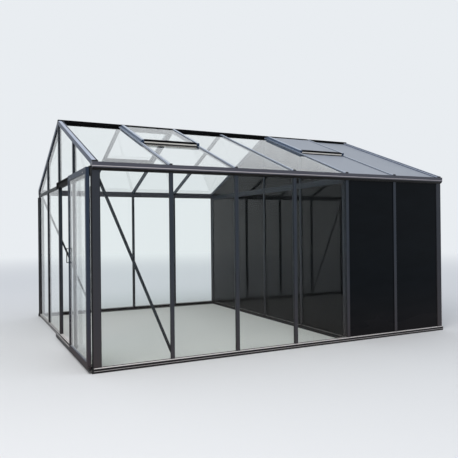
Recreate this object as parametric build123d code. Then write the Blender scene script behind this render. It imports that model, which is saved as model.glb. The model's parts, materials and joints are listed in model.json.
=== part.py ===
# Glass greenhouse with a closed store behind a partition, in millimetres.
# +X runs along the ridge from the door gable to the store's gable, +Z is up,
# and the front long wall faces -Y. The origin is on the ground, in the middle
# of the footprint, the sliding leaf and its handle included.

from build123d import *
import math
import os

# The plan and the roof
bay_count = 6  # bays of a long wall
bay = 742  # between the glazing bars of a long wall
corner_out = 54  # from an end bar line to the gable's outer face
width = 3902  # over the outer faces of the long walls
gable_bays = 4
eaves_height = 2005  # top of the roof bars at the long wall's outer face
roof_pitch = 20.7  # degrees
glass_bays = 4  # clear bays from the door end, the rest are the store's

# Panes and how they sit in the bars
pane = 4
pane_bite = 10  # how far a pane reaches into a groove
edge_clear = 2  # from a pane's edge to the groove's bottom
glass_in = 12  # from the outer face of a wall to its panes

# Wall frame
frame_depth = 44
bar_face = 42
bar_cap = 5
bar_lip = 28  # width of a bar against the panes
bar_web = 8
bar_edge = 3  # bevel on the bars' outer corners
post_face = 76  # corner post along the long wall
post_side = 64  # and along the gable
base_height = 48
base_out = 20  # how far the long walls' base rails stand proud of the bars
base_foot = 70  # depth of the base rail's foot
foot_thick = 8
rib_step = 4  # depth of the flutes in the base rail
header_down = 73  # from the eaves height to the header's top
header_height = 41
header_inset = 4

# Eaves beam with its gutter
beam_height = 80
gutter_out = 30  # from the wall's outer face to the gutter's
gutter_wall = 3
gutter_round = 22  # size of the gutter's rounded lower corner
gutter_rib = 3
rib_height = 33  # of the gutter's rib above its underside
channel_low = 15  # thickness under the rain channel
channel_in = 14  # the channel's inner wall, behind the wall's outer face
lip_drop = 4  # gutter lip below the bars' lower ends
plate = 4  # end plates of the gutters

# Roof bars, verges and ridge
roof_bar_face = 50
roof_bar_rib = 24  # width of the raised rib along a bar's middle
roof_bar_wing = 6.5  # from the rib's top down to the flanges beside it
roof_bar_cap = 10
roof_bar_depth = 39
roof_bar_box = 34
bar_drip = 2  # how far the bars reach over the gutter
verge_face = 60
verge_depth = 39
verge_rise = 13  # outer part of the verge above the bars
verge_lip = 44  # its width
verge_slot = 6  # width of the groove beside it
verge_sink = 8  # depth of that groove
verge_step = 4  # from the outer part's top down to the strip beyond the groove
ridge_rise = 18  # ridge above the line where the bars' tops would meet
ridge_wing = 34  # half width of the ridge's foot on the panes
ridge_crown = 24  # half width of its top
ridge_bevel = 5
ridge_web = 20  # half width of the web below
plug = 4  # thickness of the plugs that close the roof bars' ends

# Roof vents
vent_length = 979  # along the slope
vent_rise = 33
vent_rail = 36
vent_back = 60  # how far the vent's top slopes down towards the ridge
vent_heel = 12  # height left at the ridge
vent_nose = 6  # bevel at the lower end
vent_flute = 2  # depth of the flute along the side rails
sill_deep = 46
sill_dip = 12  # depth of the channel in the sill's face
sill_rib = 14  # rib above the channel
sill_foot = 4  # rib below it
vent_pane_down = 6  # from the vent's top face to its pane
trimmer = 30
seat_gap = 0.3

# Partition and braces
stile = 40
partition_head = 75  # height of the partition's header
brace_wide = 30
brace_thick = 4
brace_low = 110
brace_down = 45  # from the eaves beam to the brace's upper end

# Sliding door
leaf_width = 950
leaf_low = 45
leaf_down = 11  # from the track's top to the leaf's
leaf_gap = 26  # from the gable's outer face to the leaf
leaf_thick = 31
leaf_stile = 50
leaf_rail = 60
leaf_edge = 2
leaf_pane_in = 6  # from the leaf's outer face to its pane
leaf_park = 2  # from the corner post's outer face to the parked leaf
track_drop = 4  # from the header's underside to the track's
track_height = 74
track_out = 20
track_wall = 3
track_lip = 12
track_rail = 9  # height of the strip that the rollers run on
track_past = 25  # track beyond the centre line of the gable
wheel_radius = 14
wheel_groove = 11
wheel_wide = 10
axle_radius = 7
roller_offset = 330
guide_fin = 4
guide_shelf = 14
guide_reach = 15  # how far the fin stands in the leaf's groove
groove_clear = 5
handle_low = 1000
handle_length = 160
handle_wide = 18
handle_proud = 26
handle_thick = 7

# Sizes that follow
slope = math.radians(roof_pitch)
half_width = width / 2
length = bay_count * bay + 2 * corner_out
leaf_reach = leaf_gap + leaf_thick + handle_proud
door_x = -(length - leaf_reach) / 2
rear_x = door_x + length
middle_x = (door_x + rear_x) / 2
beam_low = eaves_height - beam_height
header_top = eaves_height - header_down
header_low = header_top - header_height
track_low = header_low - track_drop
leaf_top = track_low + track_height - leaf_down
brace_high = beam_low - brace_down
vent_bays = (1, glass_bays)  # the second clear bay and the first one of the store
groove = pane_bite + edge_clear
glass_out = glass_in + pane  # inner face of a wall's panes
roof_under = roof_bar_cap + pane  # underside of the roof's panes
gable_bay = width / gable_bays
gable_lines = [gable_bay * k - half_width for k in range(1, gable_bays)]
partition_x = door_x + corner_out + glass_bays * bay - frame_depth / 2
slope_length = half_width / math.cos(slope)
vent_top = (half_width - ridge_wing - seat_gap) / math.cos(slope)
vent_low = vent_top - vent_length
parked_y = leaf_park - half_width

os.makedirs("parts", exist_ok=True)


def bar_x(line):
    """Centre of a long wall's bar line, counted from the door gable."""
    return door_x + corner_out + line * bay


def roof_z(inward, down):
    """Height at a distance in from the long wall's face, down square from the bars' tops."""
    return eaves_height + inward * math.tan(slope) - down / math.cos(slope)


def on_slope(along, down):
    """Point of the front slope: along it from the eaves, and down square from the bars' tops."""
    y = -half_width + along * math.cos(slope) + down * math.sin(slope)
    return y, eaves_height + along * math.sin(slope) - down * math.cos(slope)


ridge_low = roof_z(half_width - ridge_web, verge_depth)


def run(plane, outline, amount):
    """Closed outline on a plane, extruded along the plane's normal whichever way round it is listed."""
    turns = sum(a[0] * b[1] - b[0] * a[1] for a, b in zip(outline, outline[1:] + outline[:1]))
    points = outline if turns > 0 else outline[::-1]
    return extrude(plane * Polygon(*points, align=None), amount)


def along_x(outline, start, end):
    """Outline of (y, z) points, extruded along X."""
    return run(Plane.YZ.offset(start), outline, end - start)


def along_y(outline, start, end):
    """Outline of (x, z) points, extruded along Y."""
    return run(Plane.XZ.offset(-end), outline, end - start)


def along_z(outline, start, end):
    """Outline of (x, y) points, extruded upwards."""
    return run(Plane.XY.offset(start), outline, end - start)


def along_slope(outline, start, end):
    """Outline of (x, down) points, extruded up the front slope."""
    y, z = on_slope(start, 0)
    rise = (0, math.cos(slope), math.sin(slope))
    return run(Plane((0, y, z), (1, 0, 0), rise), outline, end - start)


def both_halves(half):
    """Closed outline from its right half, listed from the outer face inwards."""
    return half + [(-across, depth) for across, depth in reversed(half)]


def to_back(shape):
    return mirror(shape, about=Plane.XZ)


def to_rear(shape):
    return mirror(shape, about=Plane.YZ.offset(middle_x))


def under_roof(down):
    """Everything between the long walls and below a plane under both slopes' bars."""
    eave = roof_z(0, down)
    peak = (0, roof_z(half_width, down))
    return along_x([(-half_width, 0), (half_width, 0), (half_width, eave), peak, (-half_width, eave)],
                   door_x - frame_depth, rear_x + frame_depth)


def save(name, pieces):
    """Writes one named piece, or several like ones that don't touch."""
    solids = [solid for piece in pieces for solid in piece.solids()]
    export_step(Compound(children=solids) if len(solids) > 1 else solids[0], f"parts/{name}.step")


# The glazing bar of the walls: a bevelled cap, a waist against the panes, a web and a box behind
bar_section = both_halves([
    (bar_face / 2 - bar_edge, 0), (bar_face / 2, bar_edge), (bar_face / 2, bar_cap),
    (bar_lip / 2, bar_cap + bar_edge), (bar_lip / 2, glass_in), (bar_web / 2, glass_in),
    (bar_web / 2, glass_out), (bar_lip / 2, glass_out), (bar_lip / 2, frame_depth - bar_edge),
    (bar_lip / 2 - bar_edge, frame_depth)])


def wall_bar(line):
    """Bar of the front wall, from the base rail to the eaves beam."""
    outline = [(bar_x(line) + across, depth - half_width) for across, depth in bar_section]
    return along_z(outline, base_height, beam_low)


def cross_bar(face_x, line_y, down):
    """Bar across the building, from the base rail up to the roof or the ridge."""
    outline = [(face_x + depth, line_y + across) for across, depth in bar_section]
    return along_z(outline, base_height, ridge_low) & under_roof(down)


# Corner posts: an angle with a groove for each wall's panes, and its gable leg runs up to the verge
def corner_post():
    edge = [
        (frame_depth, frame_depth), (frame_depth, post_side), (glass_out, post_side),
        (glass_out, post_side - groove), (glass_in, post_side - groove), (glass_in, post_side), (0, post_side)]
    angle = [
        (bar_edge, 0), (post_face - bar_edge, 0), (post_face, bar_edge), (post_face, glass_in),
        (post_face - groove, glass_in), (post_face - groove, glass_out), (post_face, glass_out),
        (post_face, frame_depth)] + edge + [(0, bar_edge)]
    leg = edge + [(0, frame_depth)]
    angle, leg = [[(door_x + x, y - half_width) for x, y in outline] for outline in (angle, leg)]
    return along_z(angle, base_height, beam_low) + (along_z(leg, beam_low, ridge_low) & under_roof(verge_depth))


# Base rail: a fluted face, a groove for the panes and a foot on the ground
def base_section(out):
    flute = base_height / 5
    face = [
        (rib_step, 0), (rib_step, flute), (0, flute + rib_step), (0, 2 * flute),
        (rib_step, 2 * flute + rib_step), (rib_step, 3 * flute), (0, 3 * flute + rib_step),
        (0, base_height - bar_edge), (bar_edge, base_height)]
    return [(depth - out, z) for depth, z in face] + [
        (glass_in, base_height), (glass_in, base_height - groove), (glass_out, base_height - groove),
        (glass_out, base_height), (frame_depth, base_height), (frame_depth, foot_thick),
        (base_foot, foot_thick), (base_foot, 0)]


def side_base():
    return along_x([(depth - half_width, z) for depth, z in base_section(base_out)], door_x, rear_x)


def gable_base():
    """Rail between the long walls' rails, scribed over their feet."""
    outline = [(door_x + depth, z) for depth, z in base_section(0)]
    rail = along_y(outline, frame_depth - half_width, half_width - frame_depth)
    return rail - side_base() - to_back(side_base())


# Eaves beam and gutter in one profile: an open rain channel outside, the beam over the panes inside
def eaves_gutter():
    rib = beam_low + rib_height
    lip = eaves_height - lip_drop
    outline = [
        (frame_depth, beam_low), (glass_out, beam_low), (glass_out, beam_low + groove),
        (glass_in, beam_low + groove), (glass_in, beam_low), (gutter_round - gutter_out, beam_low),
        (-gutter_out, beam_low + gutter_round), (-gutter_out, rib - gutter_rib),
        (-gutter_out - gutter_rib, rib), (-gutter_out - gutter_rib, rib + gutter_rib),
        (-gutter_out, rib + 2 * gutter_rib), (-gutter_out, lip), (gutter_wall - gutter_out, lip),
        (gutter_wall - gutter_out, beam_low + gutter_round + gutter_wall),
        (gutter_round - gutter_out, beam_low + channel_low), (channel_in, beam_low + channel_low),
        (channel_in, roof_z(channel_in, roof_under)), (frame_depth, roof_z(frame_depth, roof_under))]
    return along_x([(depth - half_width, z) for depth, z in outline], door_x + plate, rear_x - plate)


def gutter_plate():
    """Plate that closes the gutter's end, under the verge."""
    tip = -bar_drip - plug
    outline = [
        (frame_depth, beam_low), (gutter_round - gutter_out, beam_low), (-gutter_out, beam_low + gutter_round),
        (-gutter_out, eaves_height - lip_drop), (tip, eaves_height - lip_drop), (tip, roof_z(tip, roof_under)),
        (frame_depth, roof_z(frame_depth, roof_under))]
    return along_x([(depth - half_width, z) for depth, z in outline], door_x, door_x + plate)


# Roof bars and verges, cut upright at the ridge and notched over the eaves beam
def roof_cut(rise, depth):
    """Side view of a roof bar: its cap ends at the ridge's foot, its box at the eaves beam."""
    outline = [
        (-bar_drip, -rise), (half_width - ridge_wing, -rise), (half_width - ridge_wing, roof_bar_cap),
        (half_width - ridge_web, roof_bar_cap), (half_width - ridge_web, depth), (frame_depth, depth),
        (frame_depth, roof_under), (-bar_drip, roof_under)]
    return along_x([(inward - half_width, roof_z(inward, down)) for inward, down in outline],
                   door_x, rear_x)


def roof_bar(line):
    """Roof bar: a raised rib on two flanges, a web between the panes and a box below."""
    outline = both_halves([
        (roof_bar_rib / 2, 0), (roof_bar_rib / 2, roof_bar_wing), (roof_bar_face / 2 - bar_edge, roof_bar_wing),
        (roof_bar_face / 2, roof_bar_cap), (bar_web / 2, roof_bar_cap), (bar_web / 2, roof_under),
        (roof_bar_box / 2, roof_under), (roof_bar_box / 2, roof_bar_depth)])
    outline = [(bar_x(line) + across, down) for across, down in outline]
    return along_slope(outline, -gutter_out, slope_length) & roof_cut(0, roof_bar_depth)


def verge():
    """Rafter at a gable: a raised part, a groove and a strip on top, and a groove for each pane it holds."""
    top, strip = -verge_rise, verge_lip + verge_slot
    outline = [
        (0, top + bar_edge), (bar_edge, top), (verge_lip, top), (verge_lip, top + verge_sink),
        (strip, top + verge_sink), (strip, top + verge_step), (verge_face, top + verge_step),
        (verge_face, roof_bar_cap), (verge_face - groove, roof_bar_cap), (verge_face - groove, roof_under),
        (verge_face, roof_under), (verge_face, verge_depth), (glass_out, verge_depth),
        (glass_out, verge_depth - groove), (glass_in, verge_depth - groove), (glass_in, verge_depth),
        (0, verge_depth)]
    outline = [(door_x + across, down) for across, down in outline]
    return along_slope(outline, -gutter_out, slope_length) & roof_cut(verge_rise, verge_depth)


def ridge(start, end):
    """Ridge profile: a bevelled crown that stands on the panes, and a web between the bars."""
    top = roof_z(half_width, 0) + ridge_rise
    half = [
        (ridge_crown - ridge_bevel, top), (ridge_crown, top - ridge_bevel),
        (ridge_wing, roof_z(half_width - ridge_wing, 0)),
        (ridge_wing, roof_z(half_width - ridge_wing, roof_bar_cap)),
        (ridge_web, roof_z(half_width - ridge_web, roof_bar_cap)), (ridge_web, ridge_low)]
    return along_x(both_halves(half), start, end)


def bar_plug(centre, wide, rise):
    """Plug that closes the lower end of a roof bar's cap, inside the gutter."""
    low, high = roof_z(-bar_drip, roof_under), roof_z(-bar_drip, -rise)
    outline = [(-bar_drip - plug, low), (-bar_drip, low), (-bar_drip, high), (-bar_drip - plug, high)]
    return along_x([(depth - half_width, z) for depth, z in outline], centre - wide / 2, centre + wide / 2)


# Panes and panels
def wall_pane(line):
    """Pane of the front wall in one bay, in the grooves on all four sides."""
    start = door_x + post_face - pane_bite if line == 0 else bar_x(line) + bar_web / 2 + edge_clear
    last = line == bay_count - 1
    end = rear_x - post_face + pane_bite if last else bar_x(line + 1) - bar_web / 2 - edge_clear
    low, high = base_height - pane_bite, beam_low + pane_bite
    outline = [(start, low), (end, low), (end, high), (start, high)]
    return along_y(outline, glass_in - half_width, glass_out - half_width)


def roof_pane(line):
    """Pane of the front slope in one bay, from the gutter to the ridge or to the vent's trimmer."""
    verge_in = verge_face - pane_bite
    start = door_x + verge_in if line == 0 else bar_x(line) + bar_web / 2 + edge_clear
    last = line == bay_count - 1
    end = rear_x - verge_in if last else bar_x(line + 1) - bar_web / 2 - edge_clear
    top = half_width - ridge_web - edge_clear
    outline = [(-bar_drip, roof_bar_cap), (top, roof_bar_cap), (top, roof_under), (-bar_drip, roof_under)]
    sheet = along_x([(inward - half_width, roof_z(inward, down)) for inward, down in outline], start, end)
    if line in vent_bays:
        sheet &= along_slope([(door_x, 0), (rear_x, 0), (rear_x, roof_under), (door_x, roof_under)],
                             -gutter_out, trimmer_low() + pane_bite)
    return sheet


def cross_panes(face_x, down, edges, low, high):
    """Panes across the building between two heights, one between each two edges."""
    panes = []
    for start, end in edges:
        box = along_x([(start, low), (end, low), (end, high), (start, high)],
                      face_x + glass_in, face_x + glass_out)
        panes.append((box & under_roof(down)) - ridge(door_x, rear_x))
    return panes


def bay_edges(outer):
    """Where the panes of a cross wall start and end, with the outer ones at a given place."""
    inner = bar_web / 2 + edge_clear
    starts = [outer - half_width] + [line + inner for line in gable_lines]
    ends = [line - inner for line in gable_lines] + [half_width - outer]
    return list(zip(starts, ends))


def header_pieces(face_x, outer, top):
    """Rail over the doorway's height, cut between the bars of a cross wall."""
    near, far = face_x + header_inset, face_x + frame_depth - header_inset
    outline = [
        (near, header_low), (face_x + glass_in, header_low), (face_x + glass_in, header_low + groove),
        (face_x + glass_out, header_low + groove), (face_x + glass_out, header_low), (far, header_low),
        (far, top), (face_x + glass_out, top), (face_x + glass_out, top - groove),
        (face_x + glass_in, top - groove), (face_x + glass_in, top), (near, top)]
    starts = [outer - half_width] + gable_lines
    ends = gable_lines + [half_width - outer]
    bars = [cross_bar(face_x, line, verge_depth) for line in gable_lines]
    rail = along_y(outline, starts[0], ends[-1])
    for bar in bars:
        rail -= bar
    return rail.solids()


# Roof vents, shut: rails on the roof bars, a pane, and a trimmer that ends the pane below
def trimmer_low():
    return vent_low + sill_deep / 2 - trimmer / 2


def vent_cut():
    """Side view of a vent: a bevelled nose, and a top that slopes down to the ridge's foot."""
    outline = [
        (vent_low, 0), (vent_low, vent_nose - vent_rise), (vent_low + vent_nose, -vent_rise),
        (vent_top - vent_back, -vent_rise), (vent_top, -vent_heel), (vent_top, 0)]
    return along_x([on_slope(along, down) for along, down in outline], door_x, rear_x)


def vent_sides(line):
    """The two side rails of a vent, each with its fluted outer face over a roof bar's middle."""
    slot, middle = vent_pane_down - vent_rise, -vent_rise / 2
    outline = [
        (0, 0), (0, middle + 2 * vent_flute), (vent_flute, middle + vent_flute),
        (vent_flute, middle - vent_flute), (0, middle - 2 * vent_flute), (0, bar_edge - vent_rise),
        (bar_edge, -vent_rise), (vent_rail, -vent_rise), (vent_rail, slot), (vent_rail - groove, slot),
        (vent_rail - groove, slot + pane), (vent_rail, slot + pane), (vent_rail, 0)]
    left = [(bar_x(line) + across, down) for across, down in outline]
    right = [(bar_x(line + 1) - across, down) for across, down in outline]
    return [along_slope(side, vent_low, vent_top) & vent_cut() for side in (left, right)]


def vent_ends(line):
    """The sill, with a channel along its face, and the rail at the ridge, between the side rails."""
    high, slot = -vent_rise, vent_pane_down - vent_rise
    inner = vent_low + sill_deep
    sill = [
        (vent_low, 0), (vent_low, -sill_foot), (vent_low + sill_dip, -sill_foot),
        (vent_low + sill_dip, high + sill_rib), (vent_low, high + sill_rib), (vent_low, high), (inner, high),
        (inner, slot), (inner - groove, slot), (inner - groove, slot + pane), (inner, slot + pane),
        (inner, 0)]
    head_low = vent_top - vent_back - vent_rail
    head = [
        (head_low, 0), (head_low, slot + pane), (head_low + groove, slot + pane), (head_low + groove, slot),
        (head_low, slot), (head_low, high), (vent_top, high), (vent_top, 0)]
    start, end = bar_x(line) + vent_rail, bar_x(line + 1) - vent_rail
    rails = [along_x([on_slope(along, down) for along, down in rail], start, end) for rail in (sill, head)]
    return [rail & vent_cut() for rail in rails]


def vent_pane(line):
    start, end = bar_x(line) + vent_rail - pane_bite, bar_x(line + 1) - vent_rail + pane_bite
    low, high = vent_low + sill_deep - pane_bite, vent_top - vent_back - vent_rail + pane_bite
    top = vent_pane_down - vent_rise
    outline = [(low, top), (high, top), (high, top + pane), (low, top + pane)]
    return along_x([on_slope(along, down) for along, down in outline], start, end)


def vent_trimmer(line):
    low = trimmer_low()
    outline = [
        (low, 0), (low + trimmer, 0), (low + trimmer, roof_bar_depth), (low, roof_bar_depth),
        (low, roof_under), (low + groove, roof_under), (low + groove, roof_bar_cap), (low, roof_bar_cap)]
    start, end = bar_x(line) + roof_bar_face / 2, bar_x(line + 1) - roof_bar_face / 2
    return along_x([on_slope(along, down) for along, down in outline], start, end)


# Partition: end stiles on the long walls, bars, a base rail and a header, and panels up to the roof
def partition_stile():
    near, far = partition_x + bar_edge, partition_x + frame_depth - bar_edge
    inner = frame_depth + stile
    outline = [
        (near, frame_depth), (far, frame_depth), (far, inner), (partition_x + glass_out, inner),
        (partition_x + glass_out, inner - groove), (partition_x + glass_in, inner - groove),
        (partition_x + glass_in, inner), (near, inner)]
    outline = [(x, y - half_width) for x, y in outline]
    return along_z(outline, foot_thick, ridge_low) & under_roof(roof_bar_depth)


def partition_base():
    near, far = partition_x + bar_edge, partition_x + frame_depth - bar_edge
    slot, back = partition_x + glass_in, partition_x + glass_out
    outline = [
        (near, 0), (far, 0), (far, base_height), (back, base_height), (back, base_height - groove),
        (slot, base_height - groove), (slot, base_height), (near, base_height)]
    reach = half_width - frame_depth - stile
    return along_y(outline, -reach, reach)


# Flat brace inside the first bay, from the head of the corner post to the foot of the next bar
def brace():
    start = (door_x + frame_depth + edge_clear + brace_wide / 2, brace_high)
    end = (bar_x(1), brace_low)
    tilt = math.atan2(end[1] - start[1], end[0] - start[0])
    across = (math.sin(tilt) * brace_wide / 2, -math.cos(tilt) * brace_wide / 2)
    outline = [
        (start[0] + across[0], start[1] + across[1]), (end[0] + across[0], end[1] + across[1]),
        (end[0] - across[0], end[1] - across[1]), (start[0] - across[0], start[1] - across[1])]
    return along_y(outline, frame_depth - half_width, frame_depth + brace_thick - half_width)


# Sliding door, parked open beside the doorway. Depths here are counted outwards from the gable
leaf_middle = leaf_gap + leaf_thick / 2
leaf_glass = (leaf_gap + leaf_thick - leaf_pane_in - pane, leaf_gap + leaf_thick - leaf_pane_in)
axle_z = track_low + track_wall + track_rail + seat_gap + wheel_groove


def outward(outline):
    return [(door_x - depth, other) for depth, other in outline]


def door_track():
    """Channel over the doorway, with the strip that the rollers run on."""
    top = track_low + track_height
    strip = (wheel_middle() - track_wall / 2, wheel_middle() + track_wall / 2)
    outline = [
        (0, track_low), (track_out, track_low), (track_out, track_low + track_wall),
        (strip[1], track_low + track_wall), (strip[1], track_low + track_wall + track_rail),
        (strip[0], track_low + track_wall + track_rail), (strip[0], track_low + track_wall),
        (track_wall, track_low + track_wall), (track_wall, top - track_wall),
        (track_out - track_wall, top - track_wall), (track_out - track_wall, top - track_lip),
        (track_out, top - track_lip), (track_out, top), (0, top)]
    return along_y(outward(outline), -half_width, track_past)


def wheel_middle():
    """Distance of the rollers' middle plane from the gable."""
    return track_wall + edge_clear + wheel_wide / 2


def floor_guide():
    """Shelf on the base rail, with the fin that keeps the leaf's foot in line."""
    near, far = leaf_middle - guide_fin / 2, leaf_middle + guide_fin / 2
    shelf_top = guide_shelf + guide_fin
    outline = [
        (0, guide_shelf), (far, guide_shelf), (far, leaf_low + guide_reach), (near, leaf_low + guide_reach),
        (near, shelf_top), (0, shelf_top)]
    return along_y(outward(outline), -half_width, track_past)


def fin_room():
    """Room for the guide's fin in the foot of the leaf, from end to end."""
    wide = guide_fin / 2 + groove_clear
    near, far, high = leaf_middle - wide, leaf_middle + wide, leaf_low + guide_reach + 2 * groove_clear
    outline = [(near, leaf_low), (far, leaf_low), (far, high), (near, high)]
    return along_y(outward(outline), parked_y, parked_y + leaf_width)


def leaf_stiles():
    near, far = leaf_gap, leaf_gap + leaf_thick
    slot, back = leaf_glass
    outline = [
        (near, 0), (far - leaf_edge, 0), (far, leaf_edge), (far, leaf_stile - leaf_edge),
        (far - leaf_edge, leaf_stile), (back, leaf_stile), (back, leaf_stile - groove),
        (slot, leaf_stile - groove), (slot, leaf_stile), (near, leaf_stile)]
    right = along_z([(door_x - depth, parked_y + y) for depth, y in outline], leaf_low, leaf_top)
    right -= fin_room()
    return [right, mirror(right, about=Plane.XZ.offset(-parked_y - leaf_width / 2))]


def leaf_rails():
    """Top rail, and bottom rail with the groove that runs over the guide's fin."""
    near, far = leaf_gap, leaf_gap + leaf_thick
    slot, back = leaf_glass
    start, end = parked_y + leaf_stile, parked_y + leaf_width - leaf_stile
    under = leaf_top - leaf_rail
    top = [
        (near, leaf_top), (far - leaf_edge, leaf_top), (far, leaf_top - leaf_edge), (far, under),
        (back, under), (back, under + groove), (slot, under + groove), (slot, under), (near, under)]
    over = leaf_low + leaf_rail
    bottom = [
        (near, leaf_low), (far, leaf_low), (far, over), (back, over), (back, over - groove),
        (slot, over - groove), (slot, over), (near, over)]
    return [along_y(outward(top), start, end), along_y(outward(bottom), start, end) - fin_room()]


def leaf_pane():
    start, end = parked_y + leaf_stile - pane_bite, parked_y + leaf_width - leaf_stile + pane_bite
    low, high = leaf_low + leaf_rail - pane_bite, leaf_top - leaf_rail + pane_bite
    outline = [(start, low), (end, low), (end, high), (start, high)]
    return along_x(outline, door_x - leaf_glass[1], door_x - leaf_glass[0])


def roller(side):
    """Grooved wheel on the track's strip, with its axle boss against the leaf."""
    near, far = wheel_middle() - wheel_wide / 2, wheel_middle() + wheel_wide / 2
    strip = track_wall / 2 + 1
    low, high = wheel_middle() - strip, wheel_middle() + strip
    half = [
        (near, 0), (near, wheel_radius), (low, wheel_radius), (low, wheel_groove), (high, wheel_groove),
        (high, wheel_radius), (far, wheel_radius), (far, axle_radius), (leaf_gap, axle_radius), (leaf_gap, 0)]
    outline = Plane.XY * Polygon(*[(-depth, radius) for depth, radius in half], align=None)
    wheel = revolve(outline, Axis.X)
    return Pos(door_x, parked_y + leaf_width / 2 + side * roller_offset, axle_z) * wheel


def pull_handle():
    """Upright pull on the leaf's outer face, with room for the fingers behind it."""
    near, far = leaf_gap + leaf_thick, leaf_reach
    high = handle_low + handle_length
    outline = [
        (near, handle_low), (far, handle_low), (far, high), (near, high), (near, high - handle_thick),
        (far - handle_thick, high - handle_thick), (far - handle_thick, handle_low + handle_thick),
        (near, handle_low + handle_thick)]
    start = parked_y + leaf_width - leaf_stile / 2 - handle_wide / 2
    pull = along_y(outward(outline), start, start + handle_wide)
    corners = pull.edges().filter_by(Axis.Y).group_by(Axis.X)[0]
    return fillet(corners, handle_thick - 1)


bar_lines = range(1, bay_count)
clear_bays = range(glass_bays)
store_bays = range(glass_bays, bay_count)
roof_low = verge_depth - edge_clear - pane_bite
gable_edges = bay_edges(post_side - pane_bite)
lower = (base_height - pane_bite, header_low + pane_bite)
open_bay = gable_bays // 2 - 1  # the doorway, on the front side of the centre bar

# Walls
save("corner_post_front_door", [corner_post()])
save("corner_post_back_door", [to_back(corner_post())])
save("corner_post_front_rear", [to_rear(corner_post())])
save("corner_post_back_rear", [to_rear(to_back(corner_post()))])
save("base_rail_front", [side_base()])
save("base_rail_back", [to_back(side_base())])
save("base_rail_door_gable", [gable_base()])
save("base_rail_rear_gable", [to_rear(gable_base())])
save("front_wall_bars", [wall_bar(line) for line in bar_lines])
save("back_wall_bars", [to_back(wall_bar(line)) for line in bar_lines])
save("front_wall_glass", [wall_pane(line) for line in clear_bays])
save("back_wall_glass", [to_back(wall_pane(line)) for line in clear_bays])
save("front_store_panels", [wall_pane(line) for line in store_bays])
save("back_store_panels", [to_back(wall_pane(line)) for line in store_bays])

# Gables
door_bars = [cross_bar(door_x, line, verge_depth) for line in gable_lines]
door_header = header_pieces(door_x, post_side, header_top)
door_lower = cross_panes(door_x, verge_depth, gable_edges, *lower)
door_upper = cross_panes(door_x, roof_low, gable_edges, header_top - pane_bite, ridge_low)
save("door_gable_bars", door_bars)
save("rear_gable_bars", [to_rear(bar) for bar in door_bars])
save("door_gable_header", door_header)
save("rear_gable_header", [to_rear(rail) for rail in door_header])
save("door_gable_glass", door_lower[:open_bay] + door_lower[open_bay + 1:] + door_upper)
save("rear_gable_panels", [to_rear(sheet) for sheet in door_lower + door_upper])

# Eaves and roof
save("gutter_front", [eaves_gutter()])
save("gutter_back", [to_back(eaves_gutter())])
front_plates = [gutter_plate(), to_rear(gutter_plate())]
save("gutter_end_plates", front_plates + [to_back(piece) for piece in front_plates])
save("door_verge", [verge(), to_back(verge())])
save("rear_verge", [to_rear(verge()), to_rear(to_back(verge()))])
save("roof_bars_front", [roof_bar(line) for line in bar_lines])
save("roof_bars_back", [to_back(roof_bar(line)) for line in bar_lines])
save("ridge_beam", [ridge(door_x + plate, rear_x - plate)])
save("ridge_end_plates", [ridge(door_x, door_x + plate), ridge(rear_x - plate, rear_x)])
plugs = [bar_plug(bar_x(line), roof_bar_face, 0) for line in bar_lines]
plugs += [bar_plug(x, verge_face, verge_rise) for x in (door_x + verge_face / 2, rear_x - verge_face / 2)]
save("roof_bar_plugs", plugs + [to_back(piece) for piece in plugs])
save("roof_glass_front", [roof_pane(line) for line in clear_bays])
save("roof_glass_back", [to_back(roof_pane(line)) for line in clear_bays])
save("store_roof_front", [roof_pane(line) for line in store_bays])
save("store_roof_back", [to_back(roof_pane(line)) for line in store_bays])

# Vents
trimmers = [vent_trimmer(line) for line in vent_bays]
sides = [rail for line in vent_bays for rail in vent_sides(line)]
ends = [rail for line in vent_bays for rail in vent_ends(line)]
save("vent_trimmers", trimmers + [to_back(piece) for piece in trimmers])
save("vent_side_rails", sides + [to_back(rail) for rail in sides])
save("vent_end_rails", ends + [to_back(rail) for rail in ends])
for name, line in zip(("greenhouse_vent_panes", "store_vent_panes"), vent_bays):
    save(name, [vent_pane(line), to_back(vent_pane(line))])

# Partition
stile_edges = bay_edges(frame_depth + stile - pane_bite)
partition_bars = [cross_bar(partition_x, line, roof_bar_depth) for line in gable_lines]
partition_panels = cross_panes(partition_x, verge_depth, stile_edges, *lower)
upper = (header_low + partition_head - pane_bite, ridge_low)
partition_panels += cross_panes(partition_x, roof_bar_depth, stile_edges, *upper)
save("partition_stiles", [partition_stile(), to_back(partition_stile())])
save("partition_bars", partition_bars)
save("partition_base", [partition_base()])
save("partition_header", header_pieces(partition_x, frame_depth + stile, header_low + partition_head))
save("partition_panels", partition_panels)
save("wall_braces", [brace(), to_back(brace())])

# Door
save("door_track", [door_track()])
save("door_floor_guide", [floor_guide()])
save("door_stiles", leaf_stiles())
save("door_rails", leaf_rails())
save("door_pane", [leaf_pane()])
save("door_rollers", [roller(side) for side in (-1, 1)])
save("door_handle", [pull_handle()])
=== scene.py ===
import json
import math

import bmesh
import bpy
import numpy as np
from mathutils import Matrix, Vector


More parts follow.
